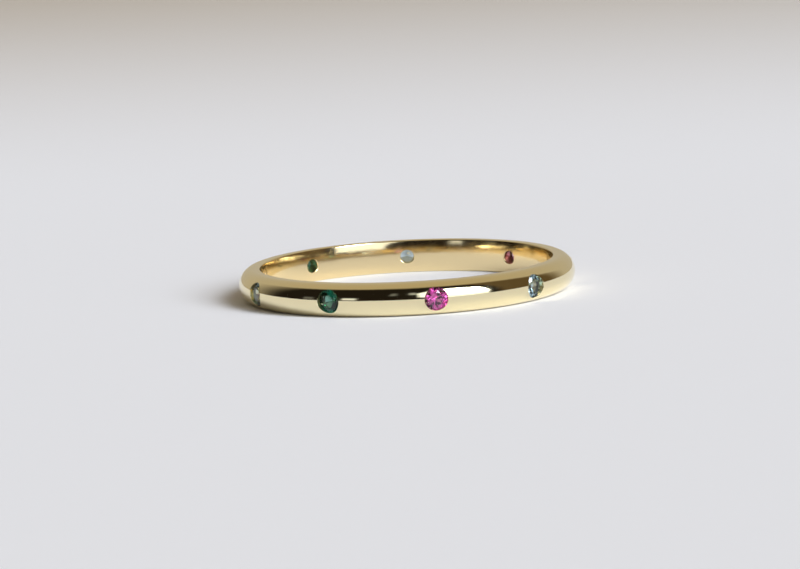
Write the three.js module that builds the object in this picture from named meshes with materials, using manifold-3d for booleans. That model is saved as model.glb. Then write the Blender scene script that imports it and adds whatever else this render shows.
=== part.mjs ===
// A slim half-round birthstone ring in yellow gold, lying on its side.
// Nine round brilliants in three colours sit flush in the band, each over a hole drilled through to the finger.
// Millimetres and degrees. The ring's axis is +Z, and the band rests on the plane z = 0.
// A station is an angle round the axis, 0 at the front (-Y) and growing towards +X.

import * as THREE from "three";
import { mergeVertices } from "three/addons/utils/BufferGeometryUtils.js";
import Module from "manifold-3d";

const wasm = await Module();
wasm.setup();

// The band
const FINGER_DIAMETER = 17.3;
const BAND_WIDTH = 1.95;
const BAND_THICKNESS = 1.35;
const BORE_SWELL = 0.06; // how far the bore bulges towards the finger at mid-width
const EDGE_RADIUS = 0.1; // rounding between the bore and each side rim
const RIM_WIDTH = 0.3; // flat ring on each side, on which the band rests

// The stones: one round brilliant, its parts as shares of its diameter
const STONE_DIAMETER = 1.42;
const TABLE_SHARE = 0.56;
const CROWN_SHARE = 0.16;
const GIRDLE_SHARE = 0.03;
const PAVILION_SHARE = 0.43;
const STAR_SHARE = 0.5; // how far the star facets reach from the table to the girdle
const LOWER_HALF_SHARE = 0.78; // how far the lower halves reach from the girdle to the culet
const STONE_SIDES = 8;

// The seats
const GIRDLE_DEPTH = 0.34; // from the crown of the band down to the stone's girdle
const SEAT_GAP = 0.01; // air between a stone and its seat
const LIP_OVERLAP = 0.02; // how far the burnished lip reaches over the girdle
const AZURE_DIAMETER = 0.8; // the hole behind each stone
const DRILL_OVERRUN = 0.4; // how far the drill passes both surfaces

// How finely round forms are divided
const BAND_SEGMENTS = 108;
const DOME_STEPS = 12;
const BORE_STEPS = 4;
const EDGE_STEPS = 2;
const SEAT_SEGMENTS = 24;

const STATIONS = [
  { name: "stone_green_1", colour: "green", angle: -28 },
  { name: "stone_pink_1", colour: "pink", angle: 9.4 },
  { name: "stone_blue_1", colour: "blue", angle: 48.7 },
  { name: "stone_green_2", colour: "green", angle: 91.4 },
  { name: "stone_pink_2", colour: "pink", angle: 134.1 },
  { name: "stone_blue_2", colour: "blue", angle: 179.5 },
  { name: "stone_green_3", colour: "green", angle: 220.9 },
  { name: "stone_pink_3", colour: "pink", angle: 258.3 },
  { name: "stone_blue_3", colour: "blue", angle: 295.7 },
];

const boreRadius = FINGER_DIAMETER / 2;
const outerRadius = boreRadius + BAND_THICKNESS;
const halfWidth = BAND_WIDTH / 2;
const stoneRadius = STONE_DIAMETER / 2;
const girdleRadius = outerRadius - GIRDLE_DEPTH;

const gold = new THREE.MeshStandardMaterial({ color: 0xd9c08a, roughness: 0.12, metalness: 1 });

const stoneMaterials = {
  green: new THREE.MeshStandardMaterial({ color: 0x0f6b55, roughness: 0.05, metalness: 0 }),
  pink: new THREE.MeshStandardMaterial({ color: 0xb81f7a, roughness: 0.05, metalness: 0 }),
  blue: new THREE.MeshStandardMaterial({ color: 0x8fc3d6, roughness: 0.05, metalness: 0 }),
};

// A closed geometry as a solid that can be cut
function solidFrom(geometry) {
  const bare = new THREE.BufferGeometry();
  bare.setAttribute("position", geometry.getAttribute("position"));
  bare.setIndex(geometry.getIndex());
  const merged = mergeVertices(bare, 1e-5);
  const vertProperties = merged.getAttribute("position").array;
  const triVerts = new Uint32Array(merged.getIndex().array);
  return new wasm.Manifold(new wasm.Mesh({ numProp: 3, vertProperties, triVerts }));
}

function geometryFrom(solid) {
  const mesh = solid.getMesh();
  const geometry = new THREE.BufferGeometry();
  geometry.setAttribute("position", new THREE.BufferAttribute(mesh.vertProperties, 3));
  geometry.setIndex(new THREE.BufferAttribute(mesh.triVerts, 1));
  return geometry;
}

// Points of an elliptical arc about (x, y), from one angle to another, both ends included
function arc(x, y, across, along, from, to, steps) {
  return Array.from({ length: steps + 1 }, (_, i) => {
    const angle = THREE.MathUtils.degToRad(from + ((to - from) * i) / steps);
    return new THREE.Vector2(x + across * Math.cos(angle), y + along * Math.sin(angle));
  });
}

// The section of the band: x is the distance from the axis, y the height above mid-width
function bandSection() {
  const edgeCentre = boreRadius + BORE_SWELL + EDGE_RADIUS;
  const domeCentre = edgeCentre + RIM_WIDTH;
  const edgeHeight = halfWidth - EDGE_RADIUS;
  const boreCurve = (edgeHeight ** 2 + BORE_SWELL ** 2) / (2 * BORE_SWELL);
  const boreSpread = THREE.MathUtils.radToDeg(Math.asin(edgeHeight / boreCurve));
  const boreCentre = boreRadius + boreCurve;
  const dome = arc(domeCentre, 0, outerRadius - domeCentre, halfWidth, -90, 90, DOME_STEPS);
  const topEdge = arc(edgeCentre, edgeHeight, EDGE_RADIUS, EDGE_RADIUS, 90, 180, EDGE_STEPS);
  const bore = arc(boreCentre, 0, boreCurve, boreCurve, 180 - boreSpread, 180 + boreSpread, BORE_STEPS);
  const bottomEdge = arc(edgeCentre, -edgeHeight, EDGE_RADIUS, EDGE_RADIUS, 180, 270, EDGE_STEPS);
  return [...dome, ...topEdge, ...bore.slice(1, -1), ...bottomEdge, dome[0].clone()];
}

// A drilled seat, turned about its own axis: hole, cone under the stone, pocket for the girdle, lip above
function seatSection() {
  const azure = AZURE_DIAMETER / 2;
  const pocket = stoneRadius + SEAT_GAP;
  const opening = stoneRadius - LIP_OVERLAP;
  const girdleBottom = girdleRadius - GIRDLE_SHARE * STONE_DIAMETER - SEAT_GAP;
  const pavilionSlope = (PAVILION_SHARE * STONE_DIAMETER) / stoneRadius;
  const outerEnd = outerRadius + DRILL_OVERRUN;
  return [
    new THREE.Vector2(0, boreRadius - DRILL_OVERRUN),
    new THREE.Vector2(azure, boreRadius - DRILL_OVERRUN),
    new THREE.Vector2(azure, girdleBottom - (pocket - azure) * pavilionSlope),
    new THREE.Vector2(pocket, girdleBottom),
    new THREE.Vector2(pocket, girdleRadius),
    new THREE.Vector2(opening, girdleRadius + SEAT_GAP),
    new THREE.Vector2(opening, outerEnd),
    new THREE.Vector2(0, outerEnd),
  ];
}

// A round brilliant with its girdle's top at y = 0 and its table at the top
function brilliant() {
  const halfStep = Math.PI / STONE_SIDES;
  const crown = CROWN_SHARE * STONE_DIAMETER;
  const girdle = GIRDLE_SHARE * STONE_DIAMETER;
  const pavilion = PAVILION_SHARE * STONE_DIAMETER;
  const table = TABLE_SHARE * stoneRadius;
  const kite = Math.cos(halfStep);
  const starTip = table * kite + STAR_SHARE * (stoneRadius - table * kite);
  const starHeight = (crown * (stoneRadius - starTip * kite)) / (stoneRadius - table);
  const lowerTip = (1 - LOWER_HALF_SHARE) * stoneRadius;
  const lowerDepth = -girdle - pavilion * (1 - (lowerTip * kite) / stoneRadius);
  const corner = (radius, height, halfSteps) =>
    new THREE.Vector3(
      radius * Math.sin(halfSteps * halfStep),
      height,
      radius * Math.cos(halfSteps * halfStep),
    );
  const tableCentre = new THREE.Vector3(0, crown, 0);
  const culet = new THREE.Vector3(0, -girdle - pavilion, 0);
  const faces = [];
  for (let i = 0; i < 2 * STONE_SIDES; i += 2) {
    const tableCorner = corner(table, crown, i);
    const nextTableCorner = corner(table, crown, i + 2);
    const star = corner(starTip, starHeight, i + 1);
    const lastStar = corner(starTip, starHeight, i - 1);
    const lower = corner(lowerTip, lowerDepth, i + 1);
    const lastLower = corner(lowerTip, lowerDepth, i - 1);
    const main = corner(stoneRadius, 0, i);
    const mainBelow = corner(stoneRadius, -girdle, i);
    faces.push([tableCentre, tableCorner, nextTableCorner]);
    faces.push([tableCorner, star, nextTableCorner]);
    faces.push([tableCorner, main, star]);
    faces.push([tableCorner, lastStar, main]);
    faces.push([culet, lower, mainBelow]);
    faces.push([culet, mainBelow, lastLower]);
    for (const [from, to] of [[i, i + 1], [i + 1, i + 2]]) {
      const left = corner(stoneRadius, 0, from);
      const right = corner(stoneRadius, 0, to);
      const leftBelow = corner(stoneRadius, -girdle, from);
      const rightBelow = corner(stoneRadius, -girdle, to);
      faces.push([star, left, right]);
      faces.push([left, leftBelow, rightBelow]);
      faces.push([left, rightBelow, right]);
      faces.push([lower, rightBelow, leftBelow]);
    }
  }
  return new THREE.BufferGeometry().setFromPoints(faces.flat());
}

// Turns a shape whose axis is +Y so that it points outwards at a station
const turnAt = (angle) => THREE.MathUtils.degToRad(angle + 180);

function band() {
  const blank = new THREE.LatheGeometry(bandSection(), BAND_SEGMENTS);
  blank.rotateX(Math.PI / 2);
  blank.translate(0, 0, halfWidth);
  let solid = solidFrom(blank);
  for (const { angle } of STATIONS) {
    const seat = new THREE.LatheGeometry(seatSection(), SEAT_SEGMENTS);
    seat.rotateZ(turnAt(angle));
    seat.translate(0, 0, halfWidth);
    solid = solid.subtract(solidFrom(seat));
  }
  const mesh = new THREE.Mesh(geometryFrom(solid), gold);
  mesh.name = "band";
  return mesh;
}

function stone({ name, colour, angle }) {
  const mesh = new THREE.Mesh(brilliant(), stoneMaterials[colour]);
  mesh.name = name;
  mesh.position.set(0, girdleRadius, 0);
  const station = new THREE.Group();
  station.position.z = halfWidth;
  station.rotation.z = turnAt(angle);
  station.add(mesh);
  return station;
}

const ring = new THREE.Group();
ring.add(band());
for (const station of STATIONS) {
  ring.add(stone(station));
}

export default ring;
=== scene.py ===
import math

import bmesh
import bpy
import numpy as np
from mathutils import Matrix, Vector


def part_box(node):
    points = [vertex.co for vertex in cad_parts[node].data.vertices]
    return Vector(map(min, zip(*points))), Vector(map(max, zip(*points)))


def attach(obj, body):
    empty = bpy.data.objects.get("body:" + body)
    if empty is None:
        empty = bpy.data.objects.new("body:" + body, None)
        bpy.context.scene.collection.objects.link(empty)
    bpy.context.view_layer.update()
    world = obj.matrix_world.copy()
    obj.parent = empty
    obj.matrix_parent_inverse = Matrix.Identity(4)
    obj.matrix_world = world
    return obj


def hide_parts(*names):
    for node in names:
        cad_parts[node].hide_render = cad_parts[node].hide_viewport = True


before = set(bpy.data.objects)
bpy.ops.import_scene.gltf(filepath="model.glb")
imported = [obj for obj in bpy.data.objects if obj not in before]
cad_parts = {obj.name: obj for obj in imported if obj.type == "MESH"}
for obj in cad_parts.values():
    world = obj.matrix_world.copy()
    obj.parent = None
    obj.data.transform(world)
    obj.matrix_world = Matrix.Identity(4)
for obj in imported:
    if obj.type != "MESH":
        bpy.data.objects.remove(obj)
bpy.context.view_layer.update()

# Shapes are made in millimetres and brought to metres at the end of each tree.
MM = 0.001

# Sizes that the solids give
band_low, band_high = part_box("band")
BAND_WIDTH = band_high.z / MM
OUTER_RADIUS = -band_low.x / MM
HALF_WIDTH = BAND_WIDTH / 2

# The section of the band
FINGER_DIAMETER = 17.3
BORE_SWELL = 0.06
EDGE_RADIUS = 0.1
RIM_WIDTH = 0.3
BORE_RADIUS = FINGER_DIAMETER / 2
EDGE_CENTRE = BORE_RADIUS + BORE_SWELL + EDGE_RADIUS
DOME_CENTRE = EDGE_CENTRE + RIM_WIDTH
DOME_DEPTH = OUTER_RADIUS - DOME_CENTRE
EDGE_HEIGHT = HALF_WIDTH - EDGE_RADIUS
BORE_CURVE = (EDGE_HEIGHT**2 + BORE_SWELL**2) / (2 * BORE_SWELL)
BORE_CENTRE = BORE_RADIUS + BORE_CURVE

# The round brilliant, its parts as shares of its diameter
STONE_DIAMETER = 1.42
TABLE_SHARE = 0.56
CROWN_SHARE = 0.16
GIRDLE_SHARE = 0.03
PAVILION_SHARE = 0.43
STAR_SHARE = 0.5
LOWER_HALF_SHARE = 0.78
STONE_SIDES = 8
GIRDLE_STEPS = 96
STONE_RADIUS = STONE_DIAMETER / 2
STONE_TURN = math.radians(137.5)

# The seat drilled for each stone
GIRDLE_DEPTH = 0.34
GIRDLE_RADIUS = OUTER_RADIUS - GIRDLE_DEPTH
SEAT_GAP = 0.01
LIP_OVERLAP = 0.02
LIP_ROUND = 0.04
AZURE_DIAMETER = 0.8
AZURE_ROUND = 0.05
DRILL_OVERRUN = 0.4

# How finely round forms are divided
BAND_STEPS = 480
DOME_STEPS = 56
BORE_STEPS = 16
EDGE_STEPS = 6
SEAT_STEPS = 72
ROUND_STEPS = 5
CREASE_ANGLE = math.radians(28)
FACET_ANGLE = math.radians(0.6)

# Polished gold: reflected colours, the inside one darker and warmer as painted shade, roughness from fresh
# to worn, and the depth of the polish waves in metres
GOLD_OUTSIDE = (0.94, 0.83, 0.53, 1)
GOLD_INSIDE_SHADED = (0.88, 0.72, 0.42, 1)
FRESH_ROUGHNESS = 0.05
WORN_ROUGHNESS = 0.1
INSIDE_ROUGHNESS = 0.06
DRILLED_ROUGHNESS = 0.12
POLISH_DEPTH = 0.000006

# Cut stones: refraction, the colour that passes through, and how strongly the rest is absorbed per metre
GEM_KINDS = {
    "green": {"refraction": 1.55, "colour": (0.0, 0.54, 0.42), "density": 2700},
    "pink": {"refraction": 1.76, "colour": (0.85, 0.18, 0.66), "density": 1600},
    "blue": {"refraction": 1.62, "colour": (0.5, 0.66, 0.71), "density": 1500},
}

# The surface that the ring lies on, in metres
FLOOR_REACH = 6.0
FLOOR_DROP = 0.00001
MARK_DEPTH = 0.0001
# It darkens to beige between two distances behind the ring's centre, in millimetres: painted shade for the
# dimmer light far behind the ring.
FLOOR_NEAR = (0.87, 0.86, 0.88, 1)
FLOOR_SHADED_FAR = (0.49, 0.415, 0.325, 1)
FLOOR_SHADE_DISTANCES = (50, 260)

# The room that the metal mirrors. Azimuth 0 is the front and grows to the right, and height is the
# angle above the table. Each pair of angles, in degrees, is where a soft edge starts and where it ends.
FRONT_COLOUR = (0.014, 0.011, 0.008, 1)
SIDE_COLOUR = (0.11, 0.075, 0.035, 1)
SIDE_EDGE = (62, 72)
WALL_LOW_COLOUR = (0.48, 0.43, 0.34, 1)
WALL_HIGH_COLOUR = (0.46, 0.38, 0.245, 1)
WALL_HEIGHTS = (5, 80)
LEFT_WALL_EDGE = (96, 146)
RIGHT_WALL_EDGE = (113, 140)
CEILING_EDGE = (69, 86)
CEILING_SHIFT = 5.0
CEILING_FALL = 0.000024

# The window's left side stands at the first azimuth below its foot and at the second above it.
WINDOW_FOOT = (4, 12)
WINDOW_LEFT = (17, 7)
WINDOW_LEFT_BLUR = 2
WINDOW_RIGHT_EDGE = (55, 59)
WINDOW_TOP_EDGE = (48, 55)
WINDOW_MIDDLE = 34.0
WINDOW_ARCH = 0.022
# Its light grows to the right, and above what stands outside.
WINDOW_BRIGHTENS = (24, 54)
WINDOW_CLEARS = (8, 20)
WINDOW_DIM = 1.5
WINDOW_BRIGHT = 25.0
LIGHT_COLOUR = (0.93, 1.0, 1.1)

# Smaller patches of light beside the window
GLOWS = [
    {"azimuths": (-46, -36), "heights": (4, 15), "strength": 0.9},
    {"azimuths": (-76, -68), "heights": (4, 14), "strength": 0.13},
    {"azimuths": (-13, -8), "heights": (26, 42), "strength": 0.15},
    {"azimuths": (1, 6), "heights": (28, 42), "strength": 0.4},
]

# The camera, from the ring's place and tilt in the photograph
CAMERA_ELEVATION = 8.2
CAMERA_ROLL = 2.85
CAMERA_DISTANCE = 350.0
SENSOR_WIDTH = 36.0
PICTURE_WIDTH = 800
PICTURE_HEIGHT = 569
RING_COLUMN = 407.0
RING_ROW = 276.6
RING_PIXELS = 336.4


def new_node(tree, kind, inputs=None, **settings):
    """Adds a node. An input given as a socket is linked, and any other value is set."""
    node = tree.nodes.new(kind)
    for name, value in settings.items():
        setattr(node, name, value)
    for key, value in (inputs or {}).items():
        if isinstance(value, bpy.types.NodeSocket):
            tree.links.new(value, node.inputs[key])
        else:
            node.inputs[key].default_value = value
    return node


def maths(tree, operation, *values):
    """The result of a Math node on numbers or sockets."""
    return new_node(tree, "ShaderNodeMath", dict(enumerate(values)), operation=operation).outputs[0]


def vector_maths(tree, operation, *values):
    """The result of a Vector Math node on vectors or sockets."""
    return new_node(tree, "ShaderNodeVectorMath", dict(enumerate(values)), operation=operation).outputs[0]


def smooth_step(tree, value, edge, start=0.0, end=1.0):
    """A soft change from start to end as the value crosses an edge, given as a pair."""
    low, high = edge
    ranges = {"Value": value, "From Min": low, "From Max": high, "To Min": start, "To Max": end}
    return new_node(tree, "ShaderNodeMapRange", ranges, interpolation_type="SMOOTHSTEP").outputs[0]


def blend(tree, factor, first, second):
    """A colour mixed from two by a factor."""
    mix = new_node(tree, "ShaderNodeMix", {0: factor, 6: first, 7: second}, data_type="RGBA")
    return mix.outputs[2]


def arc(across, up, wide, high, start, end, steps):
    """Points of an elliptical arc about (across, up), in degrees, both ends included."""
    angles = np.radians(np.linspace(start, end, steps + 1))
    return [(across + wide * math.cos(a), up + high * math.sin(a)) for a in angles]


def band_section():
    """The closed section of the band: distance from the axis, and height above mid-width."""
    spread = math.degrees(math.asin(EDGE_HEIGHT / BORE_CURVE))
    dome = arc(DOME_CENTRE, 0, DOME_DEPTH, HALF_WIDTH, -90, 90, DOME_STEPS)
    top_edge = arc(EDGE_CENTRE, EDGE_HEIGHT, EDGE_RADIUS, EDGE_RADIUS, 90, 180, EDGE_STEPS)
    bore = arc(BORE_CENTRE, 0, BORE_CURVE, BORE_CURVE, 180 - spread, 180 + spread, BORE_STEPS)
    bottom_edge = arc(EDGE_CENTRE, -EDGE_HEIGHT, EDGE_RADIUS, EDGE_RADIUS, 180, 270, EDGE_STEPS)
    return dome + top_edge + bore[1:-1] + bottom_edge


def seat_section():
    """The drill's outline: distance from its own axis, and height above the stone's girdle."""
    azure = AZURE_DIAMETER / 2
    pocket = STONE_RADIUS + SEAT_GAP
    opening = STONE_RADIUS - LIP_OVERLAP
    pocket_bottom = -GIRDLE_SHARE * STONE_DIAMETER - SEAT_GAP
    slope = PAVILION_SHARE * STONE_DIAMETER / STONE_RADIUS
    bore = BORE_RADIUS - GIRDLE_RADIUS
    lip_top = GIRDLE_DEPTH - OUTER_RADIUS + math.sqrt(OUTER_RADIUS**2 - STONE_RADIUS**2)
    lip_bend = lip_top - LIP_ROUND
    mouth = arc(azure + AZURE_ROUND, bore + AZURE_ROUND, AZURE_ROUND, AZURE_ROUND, 270, 180, ROUND_STEPS)
    lip = arc(opening + LIP_ROUND, lip_bend, LIP_ROUND, LIP_ROUND, 180, 90, ROUND_STEPS)
    return [
        (0, bore - DRILL_OVERRUN),
        (azure + AZURE_ROUND, bore - DRILL_OVERRUN),
        *mouth,
        (azure, pocket_bottom - (pocket - azure) * slope),
        (pocket, pocket_bottom),
        (pocket, 0),
        (opening, SEAT_GAP),
        *lip,
        (opening + LIP_ROUND, GIRDLE_DEPTH + DRILL_OVERRUN),
        (0, GIRDLE_DEPTH + DRILL_OVERRUN),
    ]


def helper_object(name, data):
    """An object linked to the scene. Those that only feed a tree are removed once the pieces are made."""
    made = bpy.data.objects.new(name, data)
    bpy.context.scene.collection.objects.link(made)
    return made


def section_curve():
    """The band's section as a closed curve."""
    curve = bpy.data.curves.new("band_section", "CURVE")
    curve.dimensions = "3D"
    points = band_section()
    spline = curve.splines.new("POLY")
    spline.points.add(len(points) - 1)
    for point, (across, up) in zip(spline.points, points):
        point.co = (across, up, 0, 1)
    spline.use_cyclic_u = True
    return helper_object("band_section", curve)


def seat_drill():
    """The drill's outline turned about +Z into one closed body."""
    shape = bmesh.new()
    rings = []
    for radius, height in seat_section():
        count = SEAT_STEPS if radius else 1
        angles = [2 * math.pi * i / SEAT_STEPS for i in range(count)]
        rings.append([shape.verts.new((radius * math.cos(a), radius * math.sin(a), height)) for a in angles])
    for lower, upper in zip(rings, rings[1:]):
        for i in range(SEAT_STEPS):
            corners = [lower[i % len(lower)], lower[(i + 1) % len(lower)]]
            corners += [upper[(i + 1) % len(upper)], upper[i % len(upper)]]
            shape.faces.new(dict.fromkeys(corners))
    mesh = bpy.data.meshes.new("seat_drill")
    shape.to_mesh(mesh)
    shape.free()
    return helper_object("seat_drill", mesh)


def stone_corner(radius, height, half_steps):
    """A point of the brilliant, its direction counted in half steps between mains."""
    angle = half_steps * math.pi / STONE_SIDES
    return Vector((radius * math.cos(angle), radius * math.sin(angle), height))


def plane_height(corners, x, y):
    """The height of a plane through three points."""
    normal = (corners[1] - corners[0]).cross(corners[2] - corners[0])
    return corners[0].z - (normal.x * (x - corners[0].x) + normal.y * (y - corners[0].y)) / normal.z


def brilliant():
    """A round brilliant with its table up and the middle of its girdle edge at the origin's height."""
    crown = CROWN_SHARE * STONE_DIAMETER
    girdle = GIRDLE_SHARE * STONE_DIAMETER
    pavilion = PAVILION_SHARE * STONE_DIAMETER
    table = TABLE_SHARE * STONE_RADIUS
    kite = math.cos(math.pi / STONE_SIDES)
    star_tip = table * kite + STAR_SHARE * (STONE_RADIUS - table * kite)
    star_height = crown * (STONE_RADIUS - star_tip * kite) / (STONE_RADIUS - table)
    lower_tip = (1 - LOWER_HALF_SHARE) * STONE_RADIUS
    lower_height = -girdle - pavilion * (1 - lower_tip * kite / STONE_RADIUS)
    shape = bmesh.new()
    for i in range(0, 2 * STONE_SIDES, 2):
        shape.verts.new(stone_corner(table, crown, i))
        shape.verts.new(stone_corner(star_tip, star_height, i + 1))
        shape.verts.new(stone_corner(lower_tip, lower_height, i + 1))
    shape.verts.new((0, 0, -girdle - pavilion))
    for step in range(GIRDLE_STEPS):
        place = 2 * STONE_SIDES * step / GIRDLE_STEPS
        half = math.floor(place)
        middle = half + 1 - half % 2
        edge = stone_corner(STONE_RADIUS, 0, place)
        upper = [stone_corner(star_tip, star_height, middle)]
        lower = [stone_corner(lower_tip, lower_height, middle)]
        for end in (half, half + 1):
            upper.append(stone_corner(STONE_RADIUS, 0, end))
            lower.append(stone_corner(STONE_RADIUS, -girdle, end))
        shape.verts.new((edge.x, edge.y, plane_height(upper, edge.x, edge.y)))
        shape.verts.new((edge.x, edge.y, plane_height(lower, edge.x, edge.y)))
    bmesh.ops.convex_hull(shape, input=shape.verts)
    bmesh.ops.dissolve_limit(
        shape, angle_limit=FACET_ANGLE, verts=shape.verts, edges=shape.edges
    )
    bmesh.ops.recalc_face_normals(shape, faces=shape.faces)
    mesh = bpy.data.meshes.new("brilliant")
    shape.to_mesh(mesh)
    shape.free()
    return helper_object("brilliant", mesh)


def station_of(node):
    """The middle of a stone's girdle, in millimetres, from its corners in the solid."""
    corners = np.array([v.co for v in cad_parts[node].data.vertices]) / MM
    x, y = corners[:, 0].mean(), corners[:, 1].mean()
    angle = math.atan2(x, -y)
    return Vector((GIRDLE_RADIUS * math.sin(angle), -GIRDLE_RADIUS * math.cos(angle), HALF_WIDTH))


STONES = sorted(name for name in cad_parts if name.startswith("stone_"))
STATIONS = {name: station_of(name) for name in STONES}


def station_points():
    """A point at each stone's girdle."""
    mesh = bpy.data.meshes.new("stations")
    mesh.from_pydata(list(STATIONS.values()), [], [])
    return helper_object("stations", mesh)


def new_tree(name, sockets):
    """A geometry tree with the named inputs and one geometry output."""
    tree = bpy.data.node_groups.new(name, "GeometryNodeTree")
    for socket, kind in sockets.items():
        tree.interface.new_socket(name=socket, in_out="INPUT", socket_type="NodeSocket" + kind)
    tree.interface.new_socket(name="Geometry", in_out="OUTPUT", socket_type="NodeSocketGeometry")
    return tree, tree.nodes.new("NodeGroupInput").outputs


def finish_tree(tree, geometry, material):
    """Brings the shape to metres, realizes it and gives it its material."""
    scaled = new_node(tree, "GeometryNodeTransform", {"Geometry": geometry, "Scale": (MM, MM, MM)})
    real = new_node(tree, "GeometryNodeRealizeInstances", {"Geometry": scaled.outputs[0]})
    dressed = new_node(
        tree, "GeometryNodeSetMaterial", {"Geometry": real.outputs[0], "Material": material}
    )
    new_node(tree, "NodeGroupOutput", {"Geometry": dressed.outputs[0]})


def outward_turn(tree, place):
    """The turn that stands +Z along the line from the ring's axis through a place."""
    flat = vector_maths(tree, "MULTIPLY", place, (1, 1, 0))
    return new_node(
        tree, "FunctionNodeAlignRotationToVector", {"Vector": flat}, axis="Z"
    ).outputs[0]


def geometry_of(tree, socket):
    """The geometry of an object input."""
    return new_node(tree, "GeometryNodeObjectInfo", {"Object": socket}).outputs["Geometry"]


def band_tree():
    """The section swept round the finger, with the drill taken out at every station."""
    sockets = {
        "Section": "Object",
        "Steps Round": "Int",
        "Drill": "Object",
        "Stations": "Object",
        "Drilled Metal": "Material",
        "Polished Metal": "Material",
    }
    tree, given = new_tree("band_drilled_at_stations", sockets)
    circle = new_node(
        tree, "GeometryNodeCurvePrimitiveCircle", {"Resolution": given["Steps Round"], "Radius": 1.0}
    )
    # The path has radius 1, so the section starts that much nearer to the axis.
    section = new_node(
        tree,
        "GeometryNodeTransform",
        {"Geometry": geometry_of(tree, given["Section"]), "Translation": (-1, 0, 0)},
    )
    swept = new_node(
        tree,
        "GeometryNodeCurveToMesh",
        {"Curve": circle.outputs["Curve"], "Profile Curve": section.outputs[0]},
    )
    raised = new_node(
        tree,
        "GeometryNodeTransform",
        {"Geometry": swept.outputs[0], "Translation": (0, 0, HALF_WIDTH)},
    )
    blank = new_node(
        tree,
        "GeometryNodeSetMaterial",
        {"Geometry": raised.outputs[0], "Material": given["Polished Metal"]},
    )
    drill = new_node(
        tree,
        "GeometryNodeSetMaterial",
        {"Geometry": geometry_of(tree, given["Drill"]), "Material": given["Drilled Metal"]},
    )
    place = new_node(tree, "GeometryNodeInputPosition").outputs[0]
    drills = new_node(
        tree,
        "GeometryNodeInstanceOnPoints",
        {
            "Points": geometry_of(tree, given["Stations"]),
            "Instance": drill.outputs[0],
            "Rotation": outward_turn(tree, place),
        },
    )
    real_drills = new_node(tree, "GeometryNodeRealizeInstances", {"Geometry": drills.outputs[0]})
    cut = new_node(
        tree,
        "GeometryNodeMeshBoolean",
        {"Mesh 1": blank.outputs[0], "Mesh 2": real_drills.outputs[0]},
        operation="DIFFERENCE",
        solver="EXACT",
    )
    drilled = new_node(
        tree, "GeometryNodeMaterialSelection", {"Material": given["Drilled Metal"]}
    )
    marked = new_node(
        tree,
        "GeometryNodeStoreNamedAttribute",
        {"Geometry": cut.outputs["Mesh"], "Name": "drilled", "Value": drilled.outputs[0]},
        data_type="FLOAT",
        domain="FACE",
    )
    finish_tree(tree, marked.outputs[0], given["Polished Metal"])
    return tree


def stone_tree():
    """A stone turned about its own axis and set at its station, table outwards."""
    sockets = {"Stone": "Object", "Station": "Vector", "Turn": "Float", "Gem": "Material"}
    tree, given = new_tree("stone_at_station", sockets)
    turn = new_node(
        tree, "FunctionNodeAxisAngleToRotation", {"Axis": (0, 0, 1), "Angle": given["Turn"]}
    )
    turned = new_node(
        tree,
        "GeometryNodeTransform",
        {"Geometry": geometry_of(tree, given["Stone"]), "Rotation": turn.outputs[0]},
    )
    seated = new_node(
        tree,
        "GeometryNodeTransform",
        {
            "Geometry": turned.outputs[0],
            "Rotation": outward_turn(tree, given["Station"]),
            "Translation": given["Station"],
        },
    )
    finish_tree(tree, seated.outputs[0], given["Gem"])
    return tree


def grown(name, tree, values):
    """The plain mesh that a tree makes from the values of its named inputs."""
    seed = helper_object(name, bpy.data.meshes.new(name))
    modifier = seed.modifiers.new("tree", "NODES")
    modifier.node_group = tree
    for item in tree.interface.items_tree:
        if item.in_out == "INPUT":
            modifier[item.identifier] = values[item.name]
    evaluated = seed.evaluated_get(bpy.context.evaluated_depsgraph_get())
    mesh = bpy.data.meshes.new_from_object(evaluated)
    seed.modifiers.remove(modifier)
    seed.data = mesh
    mesh.name = name
    return seed


def section_normal(across, up):
    """The way out of the metal at a point of the section."""
    if across > DOME_CENTRE:
        return (across - DOME_CENTRE) / DOME_DEPTH**2, up / HALF_WIDTH**2
    if across > EDGE_CENTRE:
        return 0.0, up
    if abs(up) > EDGE_HEIGHT:
        return across - EDGE_CENTRE, up - math.copysign(EDGE_HEIGHT, up)
    return across - BORE_CENTRE, up


def true_normals(mesh):
    """Gives the turned surfaces of the band the exact normals of their section."""
    mesh.shade_smooth()
    mesh.set_sharp_from_angle(angle=CREASE_ANGLE)
    drilled = mesh.attributes["drilled"].data
    normals = [(0.0, 0.0, 0.0)] * len(mesh.loops)
    for face in mesh.polygons:
        if drilled[face.index].value > 0.5:
            continue
        for loop in face.loop_indices:
            place = mesh.vertices[mesh.loops[loop].vertex_index].co / MM
            across = math.hypot(place.x, place.y)
            out, up = section_normal(across, place.z - HALF_WIDTH)
            normals[loop] = Vector((out * place.x / across, out * place.y / across, up)).normalized()
    mesh.normals_split_custom_set(normals)


def new_material(name):
    """A material with nodes, its tree and its Principled shader."""
    material = bpy.data.materials.new(name)
    material.use_nodes = True
    return material, material.node_tree, material.node_tree.nodes["Principled BSDF"]


def millimetres(tree):
    """Object coordinates in millimetres."""
    node = new_node(tree, "ShaderNodeVectorMath", operation="SCALE")
    tree.links.new(new_node(tree, "ShaderNodeTexCoord").outputs["Object"], node.inputs[0])
    node.inputs["Scale"].default_value = 1 / MM
    return node.outputs[0]


def noise(tree, vector, scale, detail=2.0, roughness=0.5):
    """A noise value on a vector."""
    inputs = {"Vector": vector, "Scale": scale, "Detail": detail, "Roughness": roughness}
    return new_node(tree, "ShaderNodeTexNoise", inputs).outputs[0]


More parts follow.
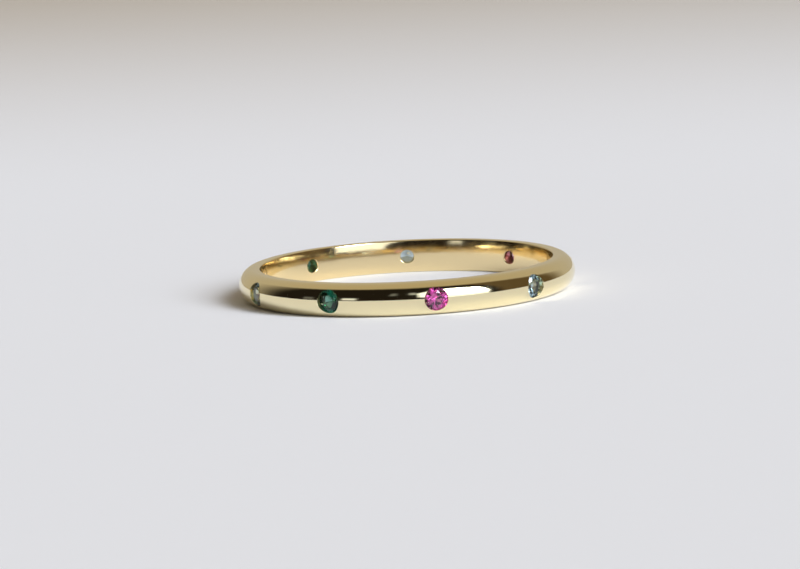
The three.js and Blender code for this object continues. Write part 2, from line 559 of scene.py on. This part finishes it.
def gold():
    """Polished yellow gold: hand-polish waves, fine lines round the band, a rougher bore, and a darker,
    warmer bore colour that is painted shade.
    """
    material, tree, shader = new_material("polished_gold")
    place = millimetres(tree)
    wave = noise(tree, place, 0.9)
    ripple = noise(tree, place, 4.5)
    lines = noise(tree, vector_maths(tree, "MULTIPLY", place, (0.35, 0.35, 26.0)), 1.0, 3.0, 0.6)
    wear = noise(tree, place, 1.6, 4.0, 0.6)
    drilled = new_node(tree, "ShaderNodeAttribute", attribute_name="drilled").outputs["Fac"]
    height = maths(tree, "MULTIPLY_ADD", ripple, 0.15, wave)
    height = maths(tree, "MULTIPLY_ADD", lines, 0.012, height)
    relief = {"Height": height, "Strength": 1.0, "Distance": POLISH_DEPTH}
    bump = new_node(tree, "ShaderNodeBump", relief)
    polish = smooth_step(tree, wear, (0.35, 0.75), FRESH_ROUGHNESS, WORN_ROUGHNESS)
    level = vector_maths(tree, "MULTIPLY", place, (1, 1, 0))
    flat = new_node(tree, "ShaderNodeVectorMath", {0: level}, operation="LENGTH")
    bore_edge = (BORE_RADIUS + BORE_SWELL, BORE_RADIUS + 2 * BORE_SWELL)
    inside = smooth_step(tree, flat.outputs["Value"], bore_edge, 1.0, 0.0)
    roughness = maths(tree, "MULTIPLY_ADD", inside, INSIDE_ROUGHNESS, polish)
    roughness = maths(tree, "MULTIPLY_ADD", drilled, DRILLED_ROUGHNESS, roughness)
    # Painted shade: the bore takes a darker, warmer gold than the outside.
    colour = blend(tree, inside, GOLD_OUTSIDE, GOLD_INSIDE_SHADED)
    shader.inputs["Metallic"].default_value = 1.0
    tree.links.new(colour, shader.inputs["Base Color"])
    tree.links.new(roughness, shader.inputs["Roughness"])
    tree.links.new(bump.outputs[0], shader.inputs["Normal"])
    return material


def gem(name, refraction, colour, density):
    """A cut stone: clear, refracting, coloured by the depth of stone that light crosses."""
    material, tree, shader = new_material(name)
    shader.inputs["Base Color"].default_value = (1, 1, 1, 1)
    shader.inputs["Roughness"].default_value = 0.0
    shader.inputs["IOR"].default_value = refraction
    shader.inputs["Transmission Weight"].default_value = 1.0
    depth = new_node(tree, "ShaderNodeVolumeAbsorption", {"Color": (*colour, 1), "Density": density})
    output = next(n for n in tree.nodes if n.type == "OUTPUT_MATERIAL")
    tree.links.new(depth.outputs[0], output.inputs["Volume"])
    return material


def make_ring():
    """The band and its stones, each on its body and in place of its solid."""
    polished = gold()
    drilled = bpy.data.materials.new("drilled_gold")
    helpers = [section_curve(), seat_drill(), station_points(), brilliant()]
    section, drill, stations, stone = helpers
    values = {
        "Section": section,
        "Steps Round": BAND_STEPS,
        "Drill": drill,
        "Stations": stations,
        "Drilled Metal": drilled,
        "Polished Metal": polished,
    }
    band = grown("gold_band", band_tree(), values)
    true_normals(band.data)
    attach(band, "root")
    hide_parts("band")
    gems = {kind: gem(kind + "_stone", **facts) for kind, facts in GEM_KINDS.items()}
    tree = stone_tree()
    for count, (node, station) in enumerate(STATIONS.items()):
        colour = node.split("_")[1]
        values = {
            "Stone": stone,
            "Station": station,
            "Turn": count * STONE_TURN,
            "Gem": gems[colour],
        }
        piece = grown(node.replace("stone", "cut"), tree, values)
        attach(piece, "root")
        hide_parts(node)
    for helper in helpers:
        bpy.data.objects.remove(helper)
    bpy.data.materials.remove(drilled)


def floor():
    """A pale painted surface with faint brush marks, and painted shade that darkens it to beige far behind
    the ring.
    """
    mesh = bpy.data.meshes.new("floor")
    around = [(-1, -1), (1, -1), (1, 1), (-1, 1)]
    corners = [(x * FLOOR_REACH, y * FLOOR_REACH, -FLOOR_DROP) for x, y in around]
    mesh.from_pydata(corners, [], [(0, 1, 2, 3)])
    made = helper_object("floor", mesh)
    material, tree, shader = new_material("pale_surface")
    place = millimetres(tree)
    along = new_node(tree, "ShaderNodeSeparateXYZ", {0: place}).outputs["Y"]
    # Painted shade: the floor's colour darkens to beige far behind the ring.
    colour = blend(tree, smooth_step(tree, along, FLOOR_SHADE_DISTANCES), FLOOR_NEAR, FLOOR_SHADED_FAR)
    marks = noise(tree, vector_maths(tree, "MULTIPLY", place, (0.08, 0.9, 1.0)), 1.0, 4.0, 0.6)
    relief = {"Height": marks, "Strength": 0.15, "Distance": MARK_DEPTH}
    bump = new_node(tree, "ShaderNodeBump", relief)
    tree.links.new(colour, shader.inputs["Base Color"])
    tree.links.new(bump.outputs[0], shader.inputs["Normal"])
    shader.inputs["Specular IOR Level"].default_value = 0.0
    mesh.materials.append(material)


def direction(azimuth, elevation):
    """A unit vector. Azimuth 0 is the front, -Y, and grows towards +X."""
    a, e = math.radians(azimuth), math.radians(elevation)
    return Vector((math.sin(a) * math.cos(e), -math.cos(a) * math.cos(e), math.sin(e)))


def room_colour(tree, azimuth, height):
    """Dark in front, brown to the right, and pale walls at both sides under a pale ceiling."""
    # The ceiling comes forward over the ring and falls away to both sides.
    side = maths(tree, "ABSOLUTE", maths(tree, "ADD", azimuth, CEILING_SHIFT))
    fall = maths(tree, "MULTIPLY", maths(tree, "POWER", side, 3.0), CEILING_FALL)
    ceiling = smooth_step(tree, maths(tree, "ADD", height, fall), CEILING_EDGE)
    left_wall = smooth_step(tree, maths(tree, "MULTIPLY", azimuth, -1.0), LEFT_WALL_EDGE)
    right_wall = smooth_step(tree, azimuth, RIGHT_WALL_EDGE)
    wall = maths(tree, "MAXIMUM", ceiling, maths(tree, "MAXIMUM", left_wall, right_wall))
    upper = smooth_step(tree, height, WALL_HEIGHTS)
    wall_colour = blend(tree, upper, WALL_LOW_COLOUR, WALL_HIGH_COLOUR)
    dark_colour = blend(tree, smooth_step(tree, azimuth, SIDE_EDGE), FRONT_COLOUR, SIDE_COLOUR)
    return blend(tree, wall, dark_colour, wall_colour)


def window_light(tree, azimuth, height):
    """An arched window that starts further right near the table and is brightest on its right."""
    start = smooth_step(tree, height, WINDOW_FOOT, *WINDOW_LEFT)
    left_edge = (-WINDOW_LEFT_BLUR, WINDOW_LEFT_BLUR)
    left = smooth_step(tree, maths(tree, "SUBTRACT", azimuth, start), left_edge)
    right = smooth_step(tree, azimuth, WINDOW_RIGHT_EDGE, 1.0, 0.0)
    arch = maths(tree, "POWER", maths(tree, "SUBTRACT", azimuth, WINDOW_MIDDLE), 2.0)
    arched_height = maths(tree, "MULTIPLY_ADD", arch, WINDOW_ARCH, height)
    top = smooth_step(tree, arched_height, WINDOW_TOP_EDGE, 1.0, 0.0)
    sky = smooth_step(tree, azimuth, WINDOW_BRIGHTENS, WINDOW_DIM, WINDOW_BRIGHT)
    sky = smooth_step(tree, height, WINDOW_CLEARS, WINDOW_DIM, sky)
    pane = maths(tree, "MULTIPLY", maths(tree, "MULTIPLY", left, right), top)
    return maths(tree, "MULTIPLY", pane, sky)


def between(tree, value, span, start_blur, end_blur):
    """One between two values, falling softly to nothing past each of them."""
    low, high = span
    rise = smooth_step(tree, value, (low - start_blur, low + start_blur))
    fall = smooth_step(tree, value, (high - end_blur, high + end_blur), 1.0, 0.0)
    return maths(tree, "MULTIPLY", rise, fall)


def glow(tree, azimuth, height, azimuths, heights, strength):
    """A soft-edged patch of light between two azimuths and two heights."""
    across = between(tree, azimuth, azimuths, 2, 2)
    upward = between(tree, height, heights, 2, 4)
    return maths(tree, "MULTIPLY", maths(tree, "MULTIPLY", across, upward), strength)


def room():
    """A dim room with a tall window to the right, as the metal mirrors it."""
    world = bpy.data.worlds.new("room")
    bpy.context.scene.world = world
    world.use_nodes = True
    tree = world.node_tree
    tree.nodes.clear()
    way = new_node(tree, "ShaderNodeTexCoord").outputs["Generated"]
    x, y, z = new_node(tree, "ShaderNodeSeparateXYZ", {0: way}).outputs
    turn = maths(tree, "ARCTAN2", x, maths(tree, "MULTIPLY", y, -1.0))
    azimuth = maths(tree, "DEGREES", turn)
    height = maths(tree, "DEGREES", maths(tree, "ARCSINE", z))
    light = window_light(tree, azimuth, height)
    for patch in GLOWS:
        light = maths(tree, "ADD", light, glow(tree, azimuth, height, **patch))
    rays = new_node(tree, "ShaderNodeVectorMath", {0: LIGHT_COLOUR}, operation="SCALE")
    tree.links.new(light, rays.inputs["Scale"])
    total = vector_maths(tree, "ADD", room_colour(tree, azimuth, height), rays.outputs[0])
    background = new_node(tree, "ShaderNodeBackground", {"Color": total, "Strength": 1.0})
    new_node(tree, "ShaderNodeOutputWorld", {"Surface": background.outputs[0]})


def camera():
    """A long lens at the photograph's angle, rolled as the photograph is."""
    data = bpy.data.cameras.new("camera")
    made = bpy.data.objects.new("camera", data)
    bpy.context.scene.collection.objects.link(made)
    bpy.context.scene.camera = made
    pixels_per_mm = RING_PIXELS / (2 * OUTER_RADIUS)
    data.sensor_width = SENSOR_WIDTH
    data.lens = pixels_per_mm * CAMERA_DISTANCE * SENSOR_WIDTH / PICTURE_WIDTH
    data.clip_start = 0.01
    data.clip_end = 20.0
    back = direction(0, CAMERA_ELEVATION)
    turn = back.to_track_quat("Z", "Y").to_matrix()
    roll = math.radians(CAMERA_ROLL)
    right, up = turn.col[0], turn.col[1]
    rolled_right = right * math.cos(roll) - up * math.sin(roll)
    rolled_up = up * math.cos(roll) + right * math.sin(roll)
    aim = Vector((0, 0, HALF_WIDTH))
    aim -= rolled_right * (RING_COLUMN - PICTURE_WIDTH / 2) / pixels_per_mm
    aim += rolled_up * (RING_ROW - PICTURE_HEIGHT / 2) / pixels_per_mm
    turn.col[0], turn.col[1], turn.col[2] = rolled_right, rolled_up, back
    made.rotation_mode = "QUATERNION"
    made.rotation_quaternion = turn.to_quaternion()
    made.location = (aim + back * CAMERA_DISTANCE) * MM


make_ring()
floor()
room()
camera()
bpy.context.scene.view_settings.view_transform = "Standard"
